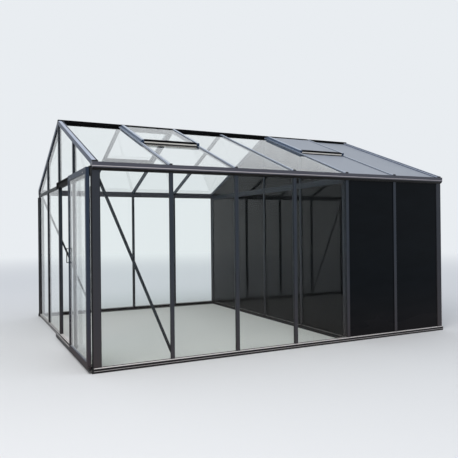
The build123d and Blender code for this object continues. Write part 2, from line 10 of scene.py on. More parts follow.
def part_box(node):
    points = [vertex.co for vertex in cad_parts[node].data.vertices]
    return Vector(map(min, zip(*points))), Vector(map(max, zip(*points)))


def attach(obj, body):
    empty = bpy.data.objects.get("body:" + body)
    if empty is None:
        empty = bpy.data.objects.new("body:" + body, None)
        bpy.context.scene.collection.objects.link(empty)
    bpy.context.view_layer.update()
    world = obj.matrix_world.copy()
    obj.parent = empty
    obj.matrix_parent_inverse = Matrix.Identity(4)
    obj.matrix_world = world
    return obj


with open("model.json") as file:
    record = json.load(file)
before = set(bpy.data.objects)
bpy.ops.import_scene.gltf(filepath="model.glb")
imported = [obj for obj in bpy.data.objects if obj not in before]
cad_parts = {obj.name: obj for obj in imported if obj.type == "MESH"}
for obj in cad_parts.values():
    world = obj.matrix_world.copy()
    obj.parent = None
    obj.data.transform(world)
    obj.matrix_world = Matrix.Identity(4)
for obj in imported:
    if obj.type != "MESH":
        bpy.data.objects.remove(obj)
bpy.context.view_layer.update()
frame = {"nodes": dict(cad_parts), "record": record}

# Sizes of the house that the trim follows, in metres. Depths are counted inwards from a wall's outer face,
# and on the roof down from the bars' tops
frontPost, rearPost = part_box("corner_post_front_door"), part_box("corner_post_back_rear")
house = {
    "doorX": frontPost[0].x, "rearX": rearPost[1].x, "halfWidth": rearPost[1].y,
    "eaves": 2.005, "pitch": math.radians(20.7),
    "bay": 0.742, "bays": 6, "firstBar": 0.054,  # firstBar: from the door gable to the first bay's edge
    "baseTop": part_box("base_rail_front")[1].z, "beamLow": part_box("front_wall_bars")[1].z,
    "headerLow": 1.891,
    "depth": 0.044, "glassOut": 0.012, "glassIn": 0.016,  # through a wall, and to its panes' two sides
    "roofGlass": 0.010,
    "halfLip": 0.014,  # half of a bar's width against the panes
    "postFace": 0.076, "postSide": 0.064,  # a corner post's width along the long wall and along the gable
    "partitionX": 0.7615, "stile": 0.040,
}
barX = house["doorX"] + house["firstBar"] + house["bay"] * np.arange(house["bays"] + 1)
gableY = house["halfWidth"] / 2 * np.array([-1.0, 0.0, 1.0])
slopeCos, slopeSin = math.cos(house["pitch"]), math.sin(house["pitch"])
print("frame loaded:", len(frame["nodes"]), "nodes")


class Signal:  # wraps a socket, so that an expression on it adds its Math nodes
    def __init__(self, tree, socket):
        self.tree, self.socket = tree, socket

    def pick(self, name):  # another output of the same node
        return Signal(self.tree, self.socket.node.outputs[name])

    def maths(self, operation, *values):
        node = self.tree.nodes.new("ShaderNodeMath")
        node.operation = operation
        for socket, value in zip(node.inputs, values):
            feed(self.tree, socket, value)
        return Signal(self.tree, node.outputs[0])

    def __add__(self, other):
        return self.maths("ADD", self, other)

    __radd__ = __add__

    def __sub__(self, other):
        return self.maths("SUBTRACT", self, other)

    def __rsub__(self, other):
        return self.maths("SUBTRACT", other, self)

    def __mul__(self, other):
        return self.maths("MULTIPLY", self, other)

    __rmul__ = __mul__

    def __truediv__(self, other):
        return self.maths("DIVIDE", self, other)

    def __pow__(self, other):
        return self.maths("POWER", self, other)

    def __abs__(self):
        return self.maths("ABSOLUTE", self)

    def larger(self, other):
        return self.maths("MAXIMUM", self, other)

    def clipped(self):  # held between 0 and 1
        return self.maths("MINIMUM", self.larger(0.0), 1.0)


def feed(tree, socket, value):  # a link for a Signal, a plain setting for a number or colour
    if isinstance(value, Signal):
        tree.links.new(value.socket, socket)
    else:
        socket.default_value = value


class Finish:  # a node tree being made, for a material or the world
    def __init__(self, block):
        block.use_nodes = True
        self.block, self.tree = block, block.node_tree
        self.tree.nodes.clear()

    def node(self, kind, settings=None, sockets=None, output=0):  # settings first, then values or links
        made = self.tree.nodes.new("ShaderNode" + kind)
        for name, value in (settings or {}).items():
            setattr(made, name, value)
        for name, value in (sockets or {}).items():
            feed(self.tree, made.inputs[name], value)
        return Signal(self.tree, made.outputs[output]) if made.outputs else made

    def place(self):  # Object coordinates: metres in the house's own frame
        return self.node("TexCoord", None, None, "Object")

    def part(self, vector, axis="Z"):
        return self.node("SeparateXYZ", None, {"Vector": vector}, axis)

    def noise(self, place, scale, detail=2.0, roughness=0.5):
        return self.node("TexNoise", None, {
            "Vector": place, "Scale": scale, "Detail": detail, "Roughness": roughness}, "Fac")

    def stretched(self, place, scale):  # the place with a scale for each axis, for a drawn-out pattern
        return self.node("Mapping", None, {"Vector": place, "Scale": scale})

    def blend(self, factor, first, second):  # mixes two colours
        return self.node("Mix", {"data_type": "RGBA"}, {0: factor, 6: first, 7: second}, 2)

    def bump(self, height, strength, distance):
        return self.node("Bump", None, {"Strength": strength, "Distance": distance, "Height": height})

    def end(self, shader, name="OutputMaterial"):
        self.node(name, None, {"Surface": shader})
        return self.block


def tone(colour):  # an sRGB colour of 0 to 255 as a linear one with alpha, by the sRGB curve
    share = np.array(colour) / 255
    linear = np.where(share <= 0.04045, share / 12.92, ((share + 0.055) / 1.055) ** 2.4)
    return (*[float(part) for part in linear], 1.0)


def newMaterial(name):
    return Finish(bpy.data.materials.new(name))


# How all the powder coats weather and where they take painted shade and painted highlights: the scales of
# their patterns, and where each mask starts and how fast it grows. Each coat's own values are further down
weatherAndPaintedLight = {
    "patchScale": 2.6, "streakScale": (38.0, 38.0, 1.3), "peelScale": 420.0, "peelDepth": 0.0006,
    "turn": 3.0, "underFrom": 0.9,  # how fast a face counts as looking up or down, as its normal turns
    "dustFade": 1.6, "dustLeast": 0.35, "streakFrom": 0.58,
    "topLeast": 0.75, "topPatch": 0.5,  # the dust and painted highlight on what looks up are stronger in the patches
    "patchRough": 0.10, "filmRough": 0.25,
    "crestHighlightEdge": 400.0, "ribEdge": 200.0, "ribShare": 0.5,
}


# Powder coat: a fine orange peel, faint patches, rain streaks down the faces, dust near the ground, painted
# shade on
# the undersides, and on what looks up a pale tone that is partly dust and partly a painted highlight. Each
# mask is held between 0 and 1:
# near = (1 - Z / dustHeight) ^ dustFade
# film = near * (dustLeast + streaks) * dust + (streaks - streakFrom) * streak
# under = -turn * normal Z - underFrom, the painted shade, up = turn * normal Z - upFrom
# dustAndHighlight = up * (topLeast + topPatch * patches) * the coat's own share, a pale tone partly of dust
# and partly a painted highlight
def powderCoat(name, coat):
    finish = newMaterial(name)
    place = finish.place()
    height = finish.part(place)
    along, across = height.pick("X"), abs(height.pick("Y"))
    facing = finish.part(finish.node("NewGeometry", None, None, "Normal"))
    up = (facing * weatherAndPaintedLight["turn"] - coat["upFrom"]).clipped()
    under = (facing * -weatherAndPaintedLight["turn"] - weatherAndPaintedLight["underFrom"]).clipped()
    patches = finish.noise(place, weatherAndPaintedLight["patchScale"], detail=4.0, roughness=0.6)
    streaks = finish.noise(finish.stretched(place, weatherAndPaintedLight["streakScale"]), scale=1.0, detail=3.0)
    peel = finish.noise(place, weatherAndPaintedLight["peelScale"])
    near = (1.0 - height / coat["dustHeight"]).clipped() ** weatherAndPaintedLight["dustFade"]
    film = (near * (weatherAndPaintedLight["dustLeast"] + streaks) * coat["dust"]
            + (streaks - weatherAndPaintedLight["streakFrom"]).clipped() * coat["streak"]).clipped()
    colour = finish.blend(patches, tone(coat["dark"]), tone(coat["light"]))
    colour = finish.blend(film, colour, tone(coat["dustTone"]))
    # painted shade on the undersides
    colour = finish.blend(under * coat["shade"], colour, tone(coat["shadeTone"]))
    if "line" in coat:  # a painted highlight along a rib, outside of "from", that fades towards the store
        line = coat["line"]
        highlightBand = (1.0 - abs(height - line["height"]) / line["half"]).clipped()
        highlightBand = highlightBand * ((across - line["from"]) * line["edge"]).clipped()
        highlightBand = highlightBand * (line["middle"] - along * line["fade"])
        blendShare = (highlightBand * line["gain"]).clipped() * (line["least"] + line["patch"] * patches)
        colour = finish.blend(blendShare, colour, tone(line["tone"]))
    if "crestHighlight" in coat:  # a painted highlight also lies high on the sides that look along the roof to its middle
        rise = (height - house["eaves"]) * slopeCos - (house["halfWidth"] - across) * slopeSin
        inward = (facing.pick("X") * along * -1.0).clipped()
        up = up.larger(inward * ((rise - coat["crestHighlight"]) * weatherAndPaintedLight["crestHighlightEdge"]).clipped())
    if "dimTopBelow" in coat:  # only a share of the dust and painted highlight lies on the low rib
        above = ((height - coat["dimTopBelow"]) * weatherAndPaintedLight["ribEdge"]).clipped()
        up = up * (1.0 - weatherAndPaintedLight["ribShare"] + weatherAndPaintedLight["ribShare"] * above)
    # a pale tone on what looks up: partly dust, partly a painted highlight
    dustAndHighlight = (up * (weatherAndPaintedLight["topLeast"] + weatherAndPaintedLight["topPatch"] * patches) * coat["dustAndHighlight"]).clipped()
    colour = finish.blend(dustAndHighlight, colour, tone(coat["dustAndHighlightTone"]))
    return finish.end(finish.node("BsdfPrincipled", None, {
        "Base Color": colour, "Specular IOR Level": coat["shine"],
        "Roughness": coat["roughness"] + weatherAndPaintedLight["patchRough"] * patches + weatherAndPaintedLight["filmRough"] * film,
        "Normal": finish.bump(peel, coat["peel"], weatherAndPaintedLight["peelDepth"])}))


# What the coats have in common, and then what sets each one apart. Colours are sRGB, heights in metres
plainCoat = {
    "dustTone": (96, 94, 96), "dustHeight": 0.3, "dust": 0.1, "streak": 0.25,
    "dustAndHighlightTone": (176, 184, 196), "dustAndHighlight": 0.85, "upFrom": 1.6, "shadeTone": (16, 16, 18), "shade": 0.6,
    "peel": 0.05, "roughness": 0.3,
}
wallCoat = {
    "dustHeight": 1.3, "dust": 0.4, "dustAndHighlightTone": (164, 166, 184), "dustAndHighlight": 0.66, "shadeTone": (18, 18, 19),
    "roughness": 0.32, "shine": 0.2,
}
coats = {
    "frame": {**wallCoat, "dark": (36, 41, 48), "light": (45, 51, 60), "dustTone": (78, 62, 54)},
    "post": {**wallCoat, "dark": (37, 40, 46), "light": (46, 49, 56), "dustTone": (72, 57, 50),
             "dustHeight": 1.5, "dust": 0.45},
    # The cheeks, roof bars, verges and door leaf are bluer copies of the anthracite frame coat, the roof bars
    # also much lighter: their tones paint the sky's light and reflection on them
    "cheek": {"dark": (36, 52, 74), "light": (50, 68, 92), "shine": 0.3},
    "roof": {"dark": (72, 82, 96), "light": (90, 101, 117), "streak": 0.35, "shine": 0.4},
    "verge": {"dark": (48, 57, 73), "light": (61, 71, 90), "streak": 0.35, "dustAndHighlightTone": (170, 177, 191),
              "dustAndHighlight": 0.9, "shine": 0.08, "crestHighlight": -0.004},
    "leaf": {"dark": (38, 46, 58), "light": (48, 57, 71), "dustTone": (66, 52, 46), "dustHeight": 1.3,
             "dust": 0.8, "dustAndHighlightTone": (150, 156, 172), "dustAndHighlight": 0.5, "shadeTone": (18, 18, 19),
             "shade": 0.5, "shine": 0.03},
    "header": {"dark": (16, 23, 27), "light": (24, 32, 36), "dustTone": (66, 52, 46), "streak": 0.15,
               "dustAndHighlightTone": (120, 134, 156), "dustAndHighlight": 0.7, "shadeTone": (12, 13, 14), "shade": 0.5,
               "shine": 0.02},
    # The base's pale tone on what looks up is a painted highlight along its bevels, partly dust
    "base": {"dark": (22, 22, 24), "light": (31, 31, 34), "dustTone": (58, 50, 46), "dustHeight": 0.12,
             "dust": 0.25, "streak": 0.15, "dustAndHighlightTone": (216, 210, 206), "dustAndHighlight": 1.0, "upFrom": 1.2,
             "shadeTone": (12, 12, 12), "shade": 0.7, "roughness": 0.36, "shine": 0.12,
             "dimTopBelow": 0.035},
    # The gutter: painted shade in full on its underside, and along its rib a painted highlight of the sky
    "gutter": {"dark": (62, 63, 71), "light": (74, 74, 82), "dustTone": (104, 92, 86), "dustHeight": 0.4,
               "streak": 0.5, "dustAndHighlightTone": (186, 182, 188), "dustAndHighlight": 1.0, "upFrom": 1.4,
               "shadeTone": (12, 10, 9), "shade": 1.0, "roughness": 0.32, "shine": 0.22,
               "line": {"height": 1.960, "half": 0.005, "from": 1.970, "edge": 500.0, "gain": 1.6,
                        "middle": 0.80, "fade": 0.11, "least": 0.7, "patch": 0.5,
                        "tone": (176, 170, 170)}},
    "ridge": {"dark": (7, 7, 8), "light": (12, 12, 13), "dustTone": (60, 58, 54), "streak": 0.1,
              "dustAndHighlightTone": (46, 46, 48), "dustAndHighlight": 0.25, "shadeTone": (6, 6, 6), "shade": 0.5,
              "peel": 0.08, "roughness": 0.5, "shine": 0.02},
    "brace": {"dark": (36, 40, 46), "light": (46, 50, 57), "dustTone": (84, 70, 60), "dustHeight": 0.7,
              "dust": 0.4, "streak": 0.3, "dustAndHighlightTone": (110, 112, 120), "dustAndHighlight": 0.3,
              "shadeTone": (16, 16, 16), "shade": 0.4, "peel": 0.08, "roughness": 0.4, "shine": 0.22},
}
coated = {name: powderCoat("powder coat " + name, {**plainCoat, **own}) for name, own in coats.items()}

# Clear glass: thin real glass that lets the lamps through, with a little dried splash above the base:
# splash = (1 - Z / splashTop) ^ splashFade * spots * splashShare
glazing = {
    "tint": (0.965, 0.985, 0.975, 1.0), "lampTint": (0.93, 0.96, 0.945, 1.0),
    "spotScale": 34.0, "spotFrom": 0.5, "spotGain": 3.0,
    "splashTop": 0.3, "splashFade": 2.2, "splashShare": 0.12, "splashTone": (176, 166, 150),
}


def clearGlass(name, ior):
    finish = newMaterial(name)
    place = finish.place()
    height = finish.part(place)
    spots = finish.noise(place, glazing["spotScale"], detail=4.0, roughness=0.7)
    spots = ((spots - glazing["spotFrom"]).clipped() * glazing["spotGain"]).clipped()
    splash = (1.0 - height / glazing["splashTop"]).clipped() ** glazing["splashFade"]
    splash = (splash * spots * glazing["splashShare"]).clipped()
    glass = finish.node("BsdfPrincipled", None, {
        "Base Color": glazing["tint"], "Roughness": 0.0, "IOR": ior, "Transmission Weight": 1.0})
    dirt = finish.node("BsdfPrincipled", None, {"Base Color": tone(glazing["splashTone"]), "Roughness": 0.9})
    body = finish.node("MixShader", None, {0: splash, 1: glass, 2: dirt})
    lamps = finish.node("LightPath", None, None, "Is Shadow Ray")
    clear = finish.node("BsdfTransparent", None, {"Color": glazing["lampTint"]})
    return finish.end(finish.node("MixShader", None, {0: lamps, 1: body, 2: clear}))


# Store panels: near-black gloss sheet, with faint wiping marks in the sheen and dust on the lower part:
# roughness = haze * (wipeLeast + wipes) + lowRough * low, where low = (1 - Z / lowTop) ^ lowFade
panelSheen = {
    "wipeStretch": (1.5, 1.5, 5.0), "wipeScale": 1.6, "wipeLeast": 0.4,
    "lowTop": 0.7, "lowFade": 1.5, "lowRough": 0.2, "lowLeast": 0.25, "lowShare": 0.4,
    "lowTone": (40, 33, 31),
    "rippleScale": 1.7, "ripple": 0.02, "rippleDepth": 0.01,
}


def glossPanel(name, dark, light, shine, haze):
    finish = newMaterial(name)
    place = finish.place()
    height = finish.part(place)
    wipes = finish.noise(finish.stretched(place, panelSheen["wipeStretch"]), panelSheen["wipeScale"])
    ripple = finish.noise(place, panelSheen["rippleScale"], detail=1.0)
    low = (1.0 - height / panelSheen["lowTop"]).clipped() ** panelSheen["lowFade"]
    dust = low * (panelSheen["lowLeast"] + wipes) * panelSheen["lowShare"]
    colour = finish.blend(wipes, tone(dark), tone(light))
    colour = finish.blend(dust, colour, tone(panelSheen["lowTone"]))
    return finish.end(finish.node("BsdfPrincipled", None, {
        "Base Color": colour, "Specular IOR Level": shine,
        "Roughness": haze * (panelSheen["wipeLeast"] + wipes) + panelSheen["lowRough"] * low,
        "Normal": finish.bump(ripple, panelSheen["ripple"], panelSheen["rippleDepth"])}))


# Store roof: satin grey sheet, with a faint pull along the slope and dried rain marks
satin = {
    "dark": (126, 132, 142), "light": (146, 151, 160), "patchScale": 1.4, "patchShare": 0.6,
    "pullStretch": (60.0, 2.0, 2.0), "pullShare": 0.4, "pull": 0.06, "pullDepth": 0.001,
    "markTone": (176, 172, 166), "markScale": 21.0, "markFrom": 0.55, "markGain": 3.0, "markShare": 0.22,
    "roughness": 0.44, "markRough": 0.14, "shine": 0.4,
}


def satinSheet():
    finish = newMaterial("satin grey roof sheet")
    place = finish.place()
    pull = finish.noise(finish.stretched(place, satin["pullStretch"]), scale=1.0, detail=3.0)
    marks = finish.noise(place, satin["markScale"], detail=5.0, roughness=0.7)
    marks = ((marks - satin["markFrom"]).clipped() * satin["markGain"]).clipped()
    patches = finish.noise(place, satin["patchScale"], detail=3.0)
    shade = patches * satin["patchShare"] + pull * satin["pullShare"]
    colour = finish.blend(shade, tone(satin["dark"]), tone(satin["light"]))
    colour = finish.blend(marks * satin["markShare"], colour, tone(satin["markTone"]))
    return finish.end(finish.node("BsdfPrincipled", None, {
        "Base Color": colour, "Specular IOR Level": satin["shine"],
        "Roughness": satin["roughness"] + satin["markRough"] * marks,
        "Normal": finish.bump(pull, satin["pull"], satin["pullDepth"])}))


# Moulded parts and rubber: worn patches in the colour, and a fine grain in the surface and in the sheen
grain = {"wornScale": 9.0, "fineRough": 0.12, "shine": 0.35, "fine": 0.25, "fineDepth": 0.0004}


def grained(name, dark, light, roughness, scale):
    finish = newMaterial(name)
    place = finish.place()
    fine = finish.noise(place, scale, detail=3.0, roughness=0.7)
    blendShare = finish.noise(place, grain["wornScale"], detail=3.0)
    return finish.end(finish.node("BsdfPrincipled", None, {
        "Base Color": finish.blend(blendShare, tone(dark), tone(light)), "Specular IOR Level": grain["shine"],
        "Roughness": roughness + grain["fineRough"] * fine,
        "Normal": finish.bump(fine, grain["fine"], grain["fineDepth"])}))


# Steel of the bolts: bare metal under a slightly dull film
bareSteel = {"dark": (150, 150, 148), "light": (186, 186, 184), "filmScale": 60.0,
             "roughness": 0.28, "filmRough": 0.2}


def boltSteel():
    finish = newMaterial("dull stainless bolts")
    film = finish.noise(finish.place(), bareSteel["filmScale"], detail=4.0, roughness=0.6)
    return finish.end(finish.node("BsdfPrincipled", None, {
        "Base Color": finish.blend(film, tone(bareSteel["dark"]), tone(bareSteel["light"])), "Metallic": 1.0,
        "Roughness": bareSteel["roughness"] + bareSteel["filmRough"] * film}))


roofClear = clearGlass("clear roof glass", ior=1.34)
wallClear = clearGlass("clear wall glass", ior=1.13)
gloss = glossPanel("near-black gloss panel", dark=(9, 12, 15), light=(15, 19, 23), shine=0.05, haze=0.16)
innerGloss = glossPanel("near-black inner gloss panel", dark=(4, 6, 8), light=(8, 10, 12),
                        shine=0.15, haze=0.02)
sheet = satinSheet()
plastic = grained("black moulded plastic", dark=(16, 16, 17), light=(28, 28, 29),
                  roughness=0.48, scale=1500.0)
rubber = grained("black glazing rubber", dark=(13, 13, 14), light=(23, 23, 24),
                 roughness=0.68, scale=2600.0)
# pale strip material that paints the sky's reflection on the vent sills
sillReflection = grained("painted sky reflection on vent sill", dark=(206, 202, 194), light=(226, 222, 214),
                   roughness=0.6, scale=900.0)
# pale blue strip material that paints the highlights on the flutes' edges
fluteHighlight = grained("painted flute highlight", dark=(120, 140, 168), light=(150, 168, 192),
                    roughness=0.4, scale=700.0)
steel = boltSteel()

# A node takes its slot's finish, unless it weathers, takes painted light or shines in another way and is
# named below
slotFinish = {
    # the near-black ridge coat also goes on the door track, where it paints the shade inside the track's open
    # channel
    "frame_metal": coated["frame"], "gutter_metal": coated["gutter"], "ridge_metal": coated["ridge"],
    "brace_metal": coated["brace"], "clear_glass": roofClear, "store_panel": gloss, "store_roof": sheet,
    "black_plastic": plastic,
}
coatNodes = {
    "base": ("base_rail_front", "base_rail_back", "base_rail_door_gable", "base_rail_rear_gable",
             "partition_base", "door_floor_guide"),
    "post": ("corner_post_front_door", "corner_post_back_door", "corner_post_front_rear",
             "corner_post_back_rear"),
    "header": ("door_gable_header", "rear_gable_header"), "verge": ("door_verge", "rear_verge"),
    "roof": ("roof_bars_front", "roof_bars_back"), "cheek": ("vent_side_rails",),
    "leaf": ("door_stiles", "door_rails"),
}
ownFinish = {nodeName: coated[coat] for coat, nodes in coatNodes.items() for nodeName in nodes}
for nodeName in ("front_wall_glass", "back_wall_glass", "door_gable_glass", "door_pane"):
    ownFinish[nodeName] = wallClear
ownFinish["partition_panels"] = innerGloss
slotOf = {part["node"]: part["material_slot"] for part in frame["record"]["subparts"]}
for nodeName, thing in frame["nodes"].items():
    for materialSlot in thing.material_slots:
        materialSlot.material = ownFinish.get(nodeName, slotFinish[slotOf[nodeName]])
print("finishes given to", len(frame["nodes"]), "nodes")


def addPiece(name, points, faces, material, body):  # one mesh, with its normals turned outwards
    mesh = bpy.data.meshes.new(name)
    mesh.from_pydata(np.asarray(points).reshape(-1, 3).tolist(), [], faces)
    mesh.materials.append(material)
    mesh.validate()
    shell = bmesh.new()
    shell.from_mesh(mesh)
    bmesh.ops.recalc_face_normals(shell, faces=shell.faces)
    shell.to_mesh(mesh)
    shell.free()
    thing = bpy.data.objects.new(name, mesh)
    bpy.context.scene.collection.objects.link(thing)
    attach(thing, body)


# Faces of like grids of points, whose rows are rings: point (copy, row, column) has the number
# (copy * rows + row) * columns + column, and a face joins two neighbours of a row to those of the next row
def ringFaces(copies, rows, columns, closed):
    copy, row, column = np.meshgrid(
        np.arange(copies), np.arange(rows if closed else rows - 1), np.arange(columns), indexing="ij")
    base = copy * rows * columns
    nextRow, nextColumn = (row + 1) % rows, (column + 1) % columns
    corners = [base + row * columns + column, base + row * columns + nextColumn,
               base + nextRow * columns + nextColumn, base + nextRow * columns + column]
    return np.stack([corner.ravel() for corner in corners], axis=1).tolist()


def endFaces(copies, rows, columns):  # a flat face over the first and the last row of each grid
    faces = []
    for copy in range(copies):
        first = copy * rows * columns
        last = first + (rows - 1) * columns
        faces.append(list(range(first, first + columns))[::-1])
        faces.append(list(range(last, last + columns)))
    return faces


# A bead round each pane: corner = centre + across * sx * (half width - a) + up * sy * (half height - a)
# + face * b, for each point (a, b) of the bead's outline, so that the corners meet in mitres
def paneBeads(name, panes, outline, material, body):
    centre, across, up, face, size = (np.array([pane[key] for pane in panes], float)
                                      for key in ("centre", "across", "up", "face", "size"))
    signs = np.array([(-1, -1), (1, -1), (1, 1), (-1, 1)], float)
    inset, proud = np.array(outline, float).T
    reach = size[:, None, None, :] - inset[None, None, :, None]
    points = (centre[:, None, None, :]
              + across[:, None, None, :] * (signs[None, :, None, 0] * reach[..., 0])[..., None]
              + up[:, None, None, :] * (signs[None, :, None, 1] * reach[..., 1])[..., None]
              + face[:, None, None, :] * proud[None, None, :, None])
    faces = ringFaces(len(panes), len(signs), len(outline), True)
    addPiece(name, points, faces, material, body)


# Straight strips: each outline point (a, b) carried from start to end, at side * a + face * b
def strips(name, runs, outline, material, body):
    start, end, side, face = (np.array([run[key] for run in runs], float)
                              for key in ("start", "end", "side", "face"))
    a, b = np.array(outline, float).T
    ring = side[:, None, :] * a[None, :, None] + face[:, None, :] * b[None, :, None]
    points = np.stack([start[:, None, :] + ring, end[:, None, :] + ring], axis=1)
    grid = (len(runs), 2, len(outline))
    addPiece(name, points, ringFaces(*grid, False) + endFaces(*grid), material, body)


# Turned heads: place + (first * cos + second * sin) * radius + axis * height, once round the axis for each
# row (radius, height), with a closed top and foot. first and second stand square to the axis
def turned(name, places, axes, rows, sides, material, body, slotName):
    places, axes = np.array(places, float), np.array(axes, float)
    other = np.where(np.abs(axes[:, 2:3]) < 0.9, np.array([[0.0, 0.0, 1.0]]), np.array([[1.0, 0.0, 0.0]]))
    first = np.cross(axes, other)
    first /= np.linalg.norm(first, axis=1)[:, None]
    second = np.cross(axes, first)
    angle = np.arange(sides) * 2 * np.pi / sides
    ring = (first[:, None, None, :] * np.cos(angle)[None, None, :, None]
            + second[:, None, None, :] * np.sin(angle)[None, None, :, None])
    radius, height = np.array(rows, float).T
    points = (places[:, None, None, :] + ring * radius[None, :, None, None]
              + axes[:, None, None, :] * height[None, :, None, None])
    grid = (len(places), len(rows), sides)
    addPiece(name, points, ringFaces(*grid, False) + endFaces(*grid), material, body)


# A point of the front slope (side -1) or the back one (+1), from the eaves by along up the slope and by down
# into it: y = half width - along * cos - down * sin, z = eaves + along * sin - down * cos
def onSlope(x, along, down, side):
    y = house["halfWidth"] - along * slopeCos - down * slopeSin
    return (x, side * y, house["eaves"] + along * slopeSin - down * slopeCos)


# Rubber beads of the wall panes, outside and inside, round the opening that shows between the bars' lips
beads = {"wide": 0.004, "proud": 0.0025, "round": 0.001}
beadOutline = [(0, 0), (beads["wide"], 0), (beads["wide"], beads["proud"] - beads["round"]),
               (beads["wide"] - beads["round"], beads["proud"]), (0, beads["proud"])]


def paneEdges():  # start and end of each clear opening along a long wall
    starts, ends = barX[:-1] + house["halfLip"], barX[1:] - house["halfLip"]
    starts[0] = house["doorX"] + house["postFace"]
    ends[-1] = house["rearX"] - house["postFace"]
    return starts, ends


def wallPanes():  # both sides of each pane in the long walls
    panes = []
    starts, ends = paneEdges()
    low, high = house["baseTop"], house["beamLow"]
    for side in (-1, 1):
        for start, end in zip(starts, ends):
            for depth, facing in ((house["glassOut"], 1), (house["glassIn"], -1)):
                panes.append({
                    "centre": ((start + end) / 2, side * (house["halfWidth"] - depth), (low + high) / 2),
                    "across": (1, 0, 0), "up": (0, 0, 1), "face": (0, side * facing, 0),
                    "size": ((end - start) / 2, (high - low) / 2)})
    return panes


# Both sides of the panes of a gable or of the partition, below its header. faceX is its outer face, direction
# points from there to its inner one, and outer is the width of what stands at its ends
def crossPanes(faceX, direction, outer, bays):
    low, high = house["baseTop"], house["headerLow"]
    edges = np.concatenate([[-house["halfWidth"] + outer], gableY, [house["halfWidth"] - outer]])
    starts, ends = edges[:-1] + house["halfLip"], edges[1:] - house["halfLip"]
    starts[0], ends[-1] = edges[0], edges[-1]
    panes = []
    for bay in bays:
        for depth, facing in ((house["glassOut"], -1), (house["glassIn"], 1)):
            panes.append({
                "centre": (faceX + direction * depth, (starts[bay] + ends[bay]) / 2, (low + high) / 2),
                "across": (0, 1, 0), "up": (0, 0, 1), "face": (direction * facing, 0, 0),
                "size": ((ends[bay] - starts[bay]) / 2, (high - low) / 2)})
    return panes


crossWalls = {  # the four values of crossPanes. The doorway is bay 1 of the door gable
    "door_gable": (house["doorX"], 1, house["postSide"], (0, 2, 3)),
    "rear_gable": (house["rearX"], -1, house["postSide"], range(4)),
    "partition": (house["partitionX"], 1, house["depth"] + house["stile"], range(4)),
}
paneBeads("wall_glazing_beads", wallPanes(), beadOutline, rubber, "greenhouse")
for wall, plan in crossWalls.items():
    paneBeads(wall + "_glazing_beads", crossPanes(*plan), beadOutline, rubber, "greenhouse")
print("glazing beads made")

# Rubber strips down both sides of each roof bar's cap, on the panes
roofStrip = {"wide": 0.0025, "top": 0.0015, "thick": 0.003, "out": 0.025, "low": 0.004, "high": 2.02}
stripOutline = [(0, 0), (roofStrip["wide"], 0), (roofStrip["top"], roofStrip["thick"]),
                (0, roofStrip["thick"])]
roofRuns = []
for side in (-1, 1):
    for x in barX[1:-1]:
        for hand in (-1, 1):
            edge = x + hand * roofStrip["out"]
            roofRuns.append({
                "start": onSlope(edge, roofStrip["low"], house["roofGlass"], side),
                "end": onSlope(edge, roofStrip["high"], house["roofGlass"], side),
                "side": (hand, 0, 0), "face": (0, side * slopeSin, slopeCos)})
strips("roof_bar_rubbers", roofRuns, stripOutline, rubber, "greenhouse")
print("roof rubbers made")

# Bolts have a domed head with a socket. Inside, each wall bar has a nut on a washer near both of its ends.
# The rows of an outline are (radius, height)
bolts = {"radius": 0.0055, "domeRadius": 0.00429, "socket": 0.0026, "high": 0.0035,
         "domeFrom": 0.45, "domeTo": 0.9, "socketFloor": 0.4, "sides": 20}
headRows = [(bolts["radius"], 0), (bolts["radius"], bolts["high"] * bolts["domeFrom"]),
            (bolts["domeRadius"], bolts["high"] * bolts["domeTo"]), (bolts["socket"], bolts["high"]),
            (bolts["socket"], bolts["high"] * bolts["socketFloor"])]
nuts = {"washer": 0.0085, "washerTop": 0.0012, "nut": 0.0075, "nutTop": 0.0062, "thread": 0.0045,
        "threadTop": 0.009, "tip": 0.0038, "tipTop": 0.0095, "fromEnd": 0.03, "sides": 6}
nutRows = [(nuts["washer"], 0), (nuts["washer"], nuts["washerTop"]), (nuts["nut"], nuts["washerTop"]),
           (nuts["nut"], nuts["nutTop"]), (nuts["thread"], nuts["nutTop"]),
           (nuts["thread"], nuts["threadTop"]), (nuts["tip"], nuts["tipTop"])]


def headOutline(wide, tall):  # the domed head, with its radii and its heights scaled
    return [(radius * wide, height * tall) for radius, height in headRows]


inner = house["halfWidth"] - house["depth"]
nutPlaces = [((x, side * inner, z), (0, -side, 0)) for side in (-1, 1) for x in barX[1:-1]
             for z in (house["baseTop"] + nuts["fromEnd"], house["beamLow"] - nuts["fromEnd"])]
turned("inside_nuts", *zip(*nutPlaces), nutRows, nuts["sides"], steel, "greenhouse", "brace_metal")
print("nuts made")

